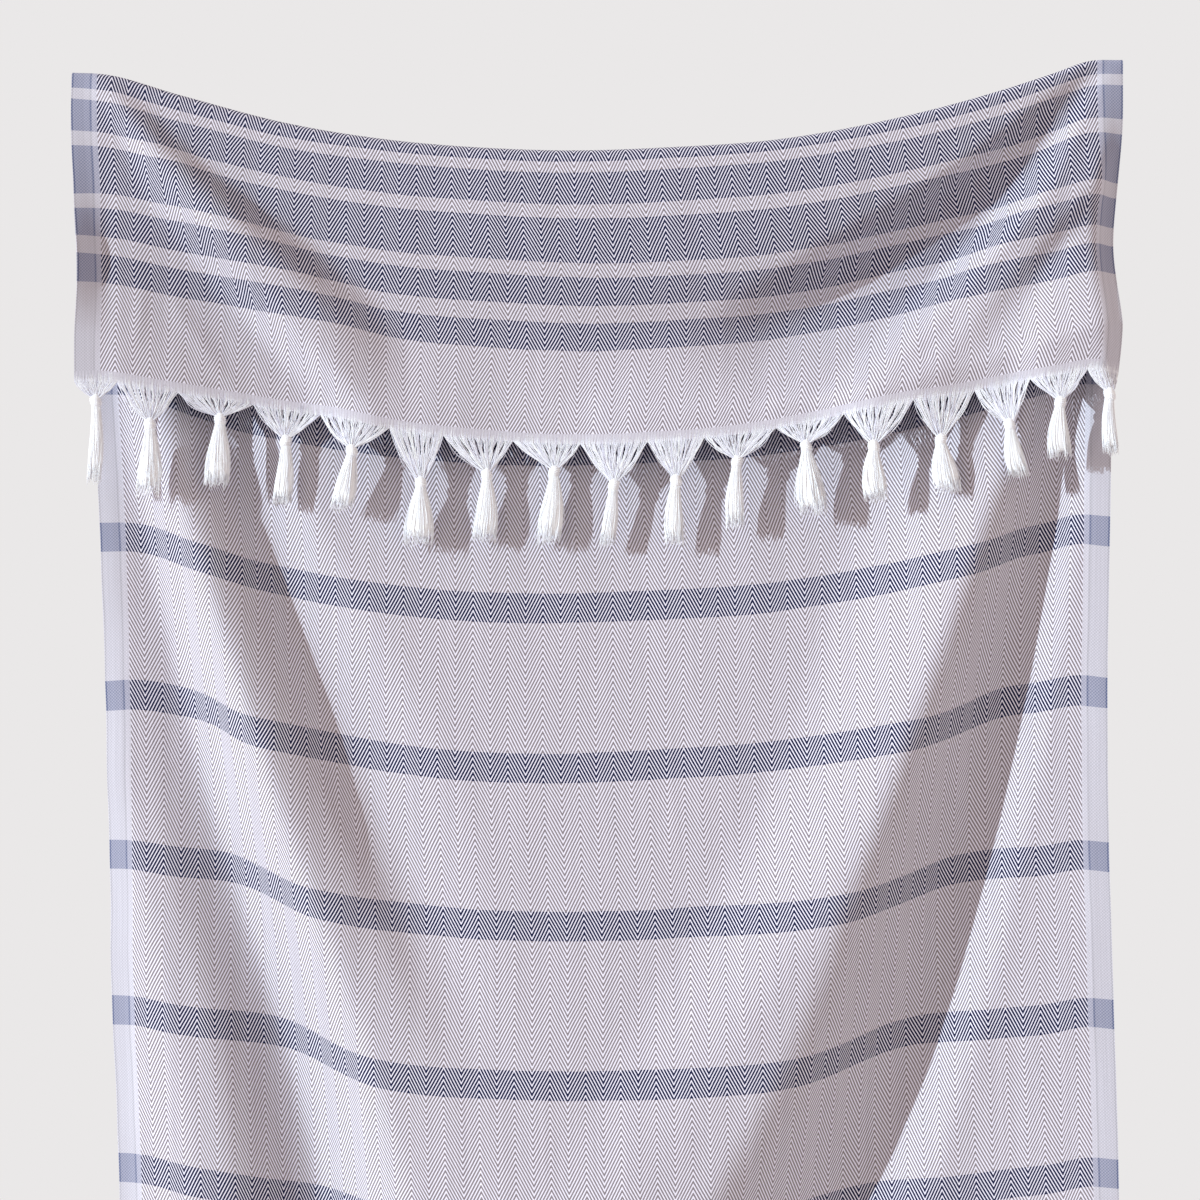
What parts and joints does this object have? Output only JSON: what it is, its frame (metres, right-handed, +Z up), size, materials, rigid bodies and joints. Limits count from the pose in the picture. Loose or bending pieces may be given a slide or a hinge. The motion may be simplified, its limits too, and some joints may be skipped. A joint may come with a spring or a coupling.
{
  "type": "hammam towel",
  "caption": "Striped woven cotton bath towel hanging full width from its top corners, its upper end folded to the front, with knotted tassels along both hems.",
  "frame": {"origin": "middle of the top fold, on the line by which the towel is held up", "axes": "+Z up along the hanging cloth, +X along the towel's width to the viewer's right, +Y towards its back; the folded flap and its tassels face -Y"},
  "size_m": [0.987, 0.1063, 1.6418],
  "materials": {
    "cloth": "herringbone-woven cotton with blue-grey cross stripes, matt",
    "tassel_yarn": "twisted white cotton yarn, matt"
  },
  "bodies": {
    "root": {"cloth": "cloth", "front_tassel_01": "tassel_yarn", "front_tassel_02": "tassel_yarn", "front_tassel_03": "tassel_yarn", "front_tassel_04": "tassel_yarn", "front_tassel_05": "tassel_yarn", "front_tassel_06": "tassel_yarn", "front_tassel_07": "tassel_yarn", "front_tassel_08": "tassel_yarn", "front_tassel_09": "tassel_yarn", "front_tassel_10": "tassel_yarn", "front_tassel_11": "tassel_yarn", "front_tassel_12": "tassel_yarn", "front_tassel_13": "tassel_yarn", "front_tassel_14": "tassel_yarn", "front_tassel_15": "tassel_yarn", "front_tassel_16": "tassel_yarn", "front_tassel_17": "tassel_yarn", "back_tassel_01": "tassel_yarn", "back_tassel_02": "tassel_yarn", "back_tassel_03": "tassel_yarn", "back_tassel_04": "tassel_yarn", "back_tassel_05": "tassel_yarn", "back_tassel_06": "tassel_yarn", "back_tassel_07": "tassel_yarn", "back_tassel_08": "tassel_yarn", "back_tassel_09": "tassel_yarn", "back_tassel_10": "tassel_yarn", "back_tassel_11": "tassel_yarn", "back_tassel_12": "tassel_yarn", "back_tassel_13": "tassel_yarn", "back_tassel_14": "tassel_yarn", "back_tassel_15": "tassel_yarn", "back_tassel_16": "tassel_yarn", "back_tassel_17": "tassel_yarn"}
  },
  "joints": []
}
